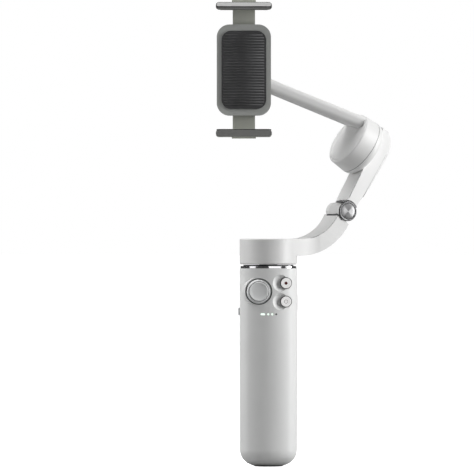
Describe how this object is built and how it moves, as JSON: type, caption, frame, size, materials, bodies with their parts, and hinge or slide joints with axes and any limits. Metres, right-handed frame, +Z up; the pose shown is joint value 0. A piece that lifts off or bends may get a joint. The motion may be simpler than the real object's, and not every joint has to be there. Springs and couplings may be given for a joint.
{
  "type": "gimbal stabilizer",
  "caption": "Handheld powered stabilizer: a round-cornered grip with controls and a telescopic rod carries a folding arm, motor joints and a sprung magnetic phone clamp.",
  "frame": {"origin": "mouth of the tripod thread at the centre of the grip's base, where it stands", "axes": "+Z up the grip, +X towards the side of the folding arm, -Y towards the user and the front of the phone"},
  "size_m": [0.1106, 0.0679, 0.2926],
  "materials": {
    "grip_plastic": "fine bead-blasted soft-touch grey",
    "arm_plastic": "satin light grey",
    "control_plastic": "satin grey",
    "button_plastic": "semi-gloss pale",
    "base_rubber": "matt black",
    "pad_rubber": "fine ribbed",
    "thread_steel": "turned",
    "screw_steel": "machined",
    "ring_chrome": "mirror polished",
    "dark_plastic": "matt",
    "rod_metal": "anodised",
    "knob_metal": "spun",
    "motor_steel": "laminated",
    "magnet_metal": "nickel plated",
    "board_resin": "solder mask",
    "battery_foil": "foil",
    "light_lens": "lit",
    "light_dim": "unlit",
    "clamp_plastic": "satin grey",
    "jaw_plastic": "satin warm grey",
    "disc_steel": "plated",
    "spring_steel": "wire"
  },
  "bodies": {
    "handle": {"grip_shell": "grip_plastic", "base_pad": "base_rubber", "base_screws": "screw_steel", "tripod_insert": "thread_steel", "lanyard_bar": "screw_steel", "status_lights": "light_lens", "charge_light": "light_dim", "rod_guide": "dark_plastic", "grip_collar": "dark_plastic", "battery_cells": "battery_foil", "main_board": "board_resin", "charging_port": "screw_steel", "joystick_base": "dark_plastic", "key_switches": "dark_plastic", "trigger_pin": "screw_steel"},
    "stick_yoke": {"joystick_yoke": "screw_steel"},
    "stick": {"joystick_cap": "control_plastic"},
    "record_key": {"record_button": "button_plastic"},
    "switch_key": {"switch_button": "button_plastic"},
    "zoom_key": {"zoom_slider": "control_plastic"},
    "power_key": {"power_button": "control_plastic"},
    "trigger_lever": {"trigger": "control_plastic"},
    "rod_1": {"rod_stage_1": "rod_metal"},
    "rod_2": {"rod_stage_2": "rod_metal"},
    "pan_base": {"rod_stage_3": "rod_metal", "pan_base_ring": "ring_chrome", "pan_motor_base": "dark_plastic", "pan_stator": "motor_steel", "pan_bearings": "thread_steel"},
    "lower_arm": {"lower_arm_shell": "arm_plastic", "lower_arm_cover": "arm_plastic", "pan_magnets": "magnet_metal", "pan_shaft": "thread_steel"},
    "upper_arm": {"upper_arm_shell": "arm_plastic", "upper_arm_cover": "arm_plastic", "hinge_pin": "knob_metal", "hinge_knob": "knob_metal", "tilt_stator": "motor_steel", "tilt_bearings": "thread_steel"},
    "roll_arm": {"tilt_motor_cup": "arm_plastic", "tilt_motor_cap": "arm_plastic", "tilt_magnets": "magnet_metal", "tilt_shaft": "thread_steel", "roll_arm_shell": "arm_plastic", "roll_stator": "motor_steel", "roll_bearings": "thread_steel"},
    "mount": {"magnet_mount": "clamp_plastic", "roll_magnets": "magnet_metal", "roll_shaft": "thread_steel"},
    "clamp": {"clamp_body": "clamp_plastic", "steel_disc": "disc_steel", "clamp_cover": "clamp_plastic", "clamp_pad": "pad_rubber", "lower_jaw": "jaw_plastic", "lower_pad": "pad_rubber", "guide_rods": "thread_steel", "clamp_springs": "spring_steel", "jaw_screws": "screw_steel"},
    "jaw": {"upper_jaw": "jaw_plastic", "upper_pad": "pad_rubber"}
  },
  "joints": [
    {"name": "rod_slide_1", "type": "slide", "parent": "handle", "child": "rod_1", "axis": [0, 0, 1], "range_m": [0, 0.0717]},
    {"name": "rod_slide_2", "type": "slide", "parent": "rod_1", "child": "rod_2", "axis": [0, 0, 1], "range_m": [0, 0.0717]},
    {"name": "rod_slide_3", "type": "slide", "parent": "rod_2", "child": "pan_base", "axis": [0, 0, 1], "range_m": [0, 0.0716]},
    {"name": "pan", "type": "hinge", "parent": "pan_base", "child": "lower_arm", "pos_m": [0, 0, 0.13], "axis": [0, 0, 1], "range_deg": [-161, 173]},
    {"name": "arm_fold", "type": "hinge", "parent": "lower_arm", "child": "upper_arm", "pos_m": [0.04556, 0.02423, 0.1598], "axis": [-0.4695, 0.8829, 0], "range_deg": [0, 105]},
    {"name": "tilt", "type": "hinge", "parent": "upper_arm", "child": "roll_arm", "pos_m": [0.06521, 0.03467, 0.19542], "axis": [-0.7488, -0.3981, 0.5299], "range_deg": [-101, 78]},
    {"name": "roll", "type": "hinge", "parent": "roll_arm", "child": "mount", "pos_m": [-0.0154, 0.015, 0.2482], "axis": [0, 1, 0], "range_deg": [-120, 212]},
    {"name": "clamp_release", "type": "slide", "parent": "mount", "child": "clamp", "axis": [0, -1, 0], "range_m": [0, 0.015]},
    {"name": "jaw_slide", "type": "slide", "parent": "clamp", "child": "jaw", "axis": [0, 0, 1], "range_m": [-0.0098, 0.0072], "deforming": ["clamp_springs"]},
    {"name": "stick_up_down", "type": "hinge", "parent": "handle", "child": "stick_yoke", "pos_m": [-0.006, -0.0145, 0.1096], "axis": [1, 0, 0], "range_deg": [-10, 10], "stiffness_Nm_per_rad": 0.004},
    {"name": "stick_left_right", "type": "hinge", "parent": "stick_yoke", "child": "stick", "pos_m": [-0.006, -0.0145, 0.1096], "axis": [0, 0, 1], "range_deg": [-10, 10], "stiffness_Nm_per_rad": 0.004},
    {"name": "record_press", "type": "slide", "parent": "handle", "child": "record_key", "axis": [0, 1, 0], "range_m": [0, 0.0005], "stiffness_N_per_m": 400},
    {"name": "switch_press", "type": "slide", "parent": "handle", "child": "switch_key", "axis": [0, 1, 0], "range_m": [0, 0.0005], "stiffness_N_per_m": 400},
    {"name": "zoom_push", "type": "slide", "parent": "handle", "child": "zoom_key", "axis": [0, 0, 1], "range_m": [-0.0028, 0.0028], "stiffness_N_per_m": 60},
    {"name": "power_press", "type": "slide", "parent": "handle", "child": "power_key", "axis": [-1, 0, 0], "range_m": [0, 0.0005], "stiffness_N_per_m": 400},
    {"name": "trigger_pull", "type": "hinge", "parent": "handle", "child": "trigger_lever", "pos_m": [0, 0.0154, 0.1164], "axis": [-1, 0, 0], "range_deg": [0, 6], "stiffness_Nm_per_rad": 0.02}
  ]
}
